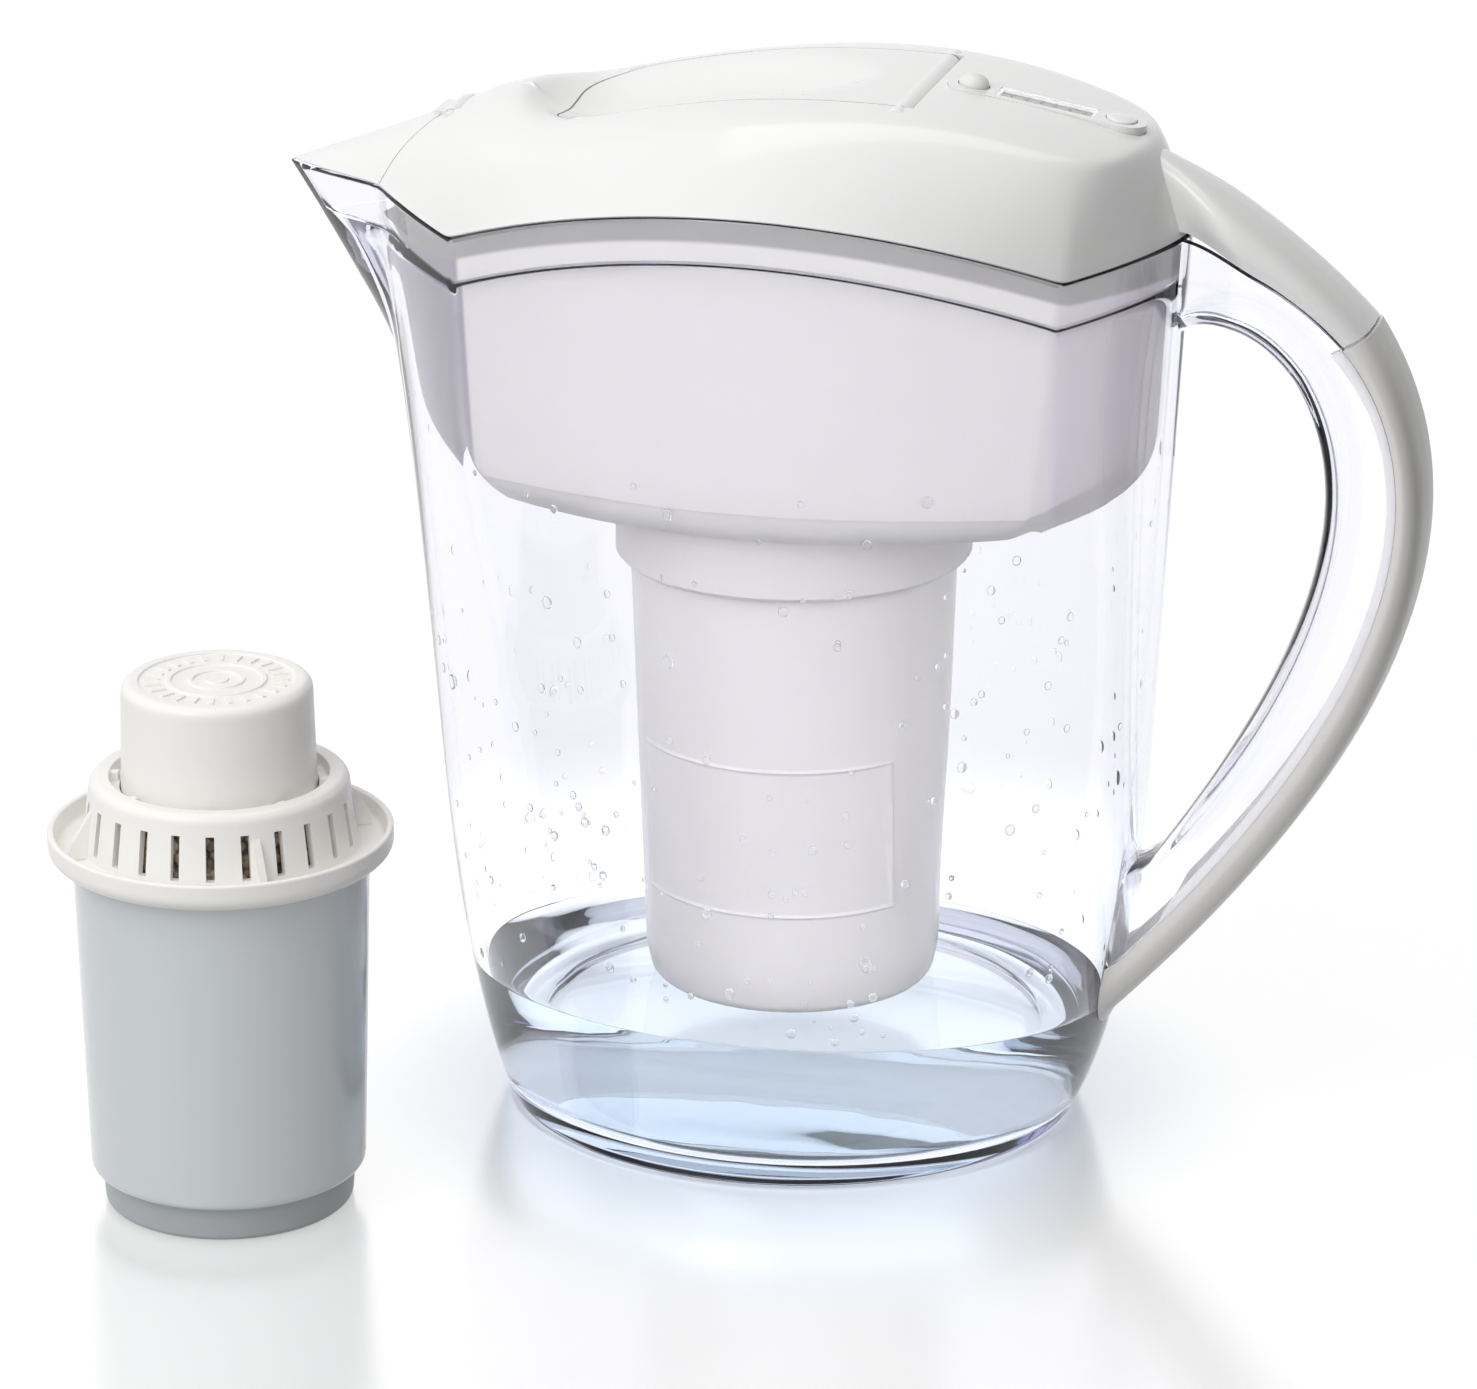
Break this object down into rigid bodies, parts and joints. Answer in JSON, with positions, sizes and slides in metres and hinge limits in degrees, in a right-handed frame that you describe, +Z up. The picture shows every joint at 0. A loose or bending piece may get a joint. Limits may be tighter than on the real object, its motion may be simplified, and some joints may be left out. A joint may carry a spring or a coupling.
{
  "type": "water filter pitcher",
  "caption": "Clear water filter pitcher with a white flip-hatch lid, lift-out hopper and sleeve, loop handle, and its filter cartridge standing beside it.",
  "frame": {"origin": "middle of the jug's base", "axes": "+X towards the handle, -X towards the spout, +Z up"},
  "size_m": [0.3331, 0.2241, 0.2814],
  "materials": {
    "clear": "clear polished",
    "frosted": "frosted translucent",
    "grip": "satin",
    "white": "gloss",
    "liner": "matte",
    "seal": "matte",
    "can": "satin",
    "carbon": "granular",
    "mineral": "granular beads",
    "felt": "felt",
    "steel": "plain",
    "window": "clear",
    "scale": "plain ticks",
    "board": "solder mask"
  },
  "bodies": {
    "jug": {"jug_body": "clear", "handle_frame": "clear", "handle_grip": "grip"},
    "hopper_unit": {"hopper": "frosted", "filter_sleeve": "frosted", "sleeve_seal": "seal", "sleeve_lock_ring": "frosted"},
    "lid": {"lid_shell": "white", "lid_liner": "liner", "hatch_pin": "steel", "flap_pin": "steel", "timer_housing": "white", "timer_window": "window", "timer_scale": "scale", "timer_board": "board", "timer_cell": "steel", "button_domes": "steel"},
    "hatch": {"flip_hatch": "white"},
    "flap": {"spout_flap": "white"},
    "set_key": {"set_button": "grip"},
    "reset_key": {"reset_button": "white"},
    "cartridge": {"cartridge_can": "can", "cartridge_strainer": "can", "cartridge_collar": "white", "cartridge_knob": "white", "carbon_bed": "carbon", "mineral_bed": "mineral", "felt_pads": "felt"}
  },
  "joints": [
    {"name": "hopper_lift", "type": "slide", "parent": "jug", "child": "hopper_unit", "axis": [0, 0, 1], "range_m": [0, 0.19]},
    {"name": "lid_lift", "type": "slide", "parent": "hopper_unit", "child": "lid", "axis": [0, 0, 1], "range_m": [0, 0.08]},
    {"name": "hatch_hinge", "type": "hinge", "parent": "lid", "child": "hatch", "pos_m": [0.034, 0, 0.27675], "axis": [0, 1, 0], "range_deg": [0, 95]},
    {"name": "flap_hinge", "type": "hinge", "parent": "lid", "child": "flap", "pos_m": [-0.0905, 0, 0.26332], "axis": [0, 1, 0], "range_deg": [0, 55]},
    {"name": "set_press", "type": "slide", "parent": "lid", "child": "set_key", "axis": [-0.165, 0, -0.9863], "range_m": [0, 0.0008], "stiffness_N_per_m": 400, "springref_m": -0.0005},
    {"name": "reset_press", "type": "slide", "parent": "lid", "child": "reset_key", "axis": [-0.165, 0, -0.9863], "range_m": [0, 0.0008], "stiffness_N_per_m": 400, "springref_m": -0.0005},
    {"name": "cartridge_lift", "type": "slide", "parent": "jug", "child": "cartridge", "axis": [0, 0, 1], "range_m": [0, 0.16]}
  ]
}
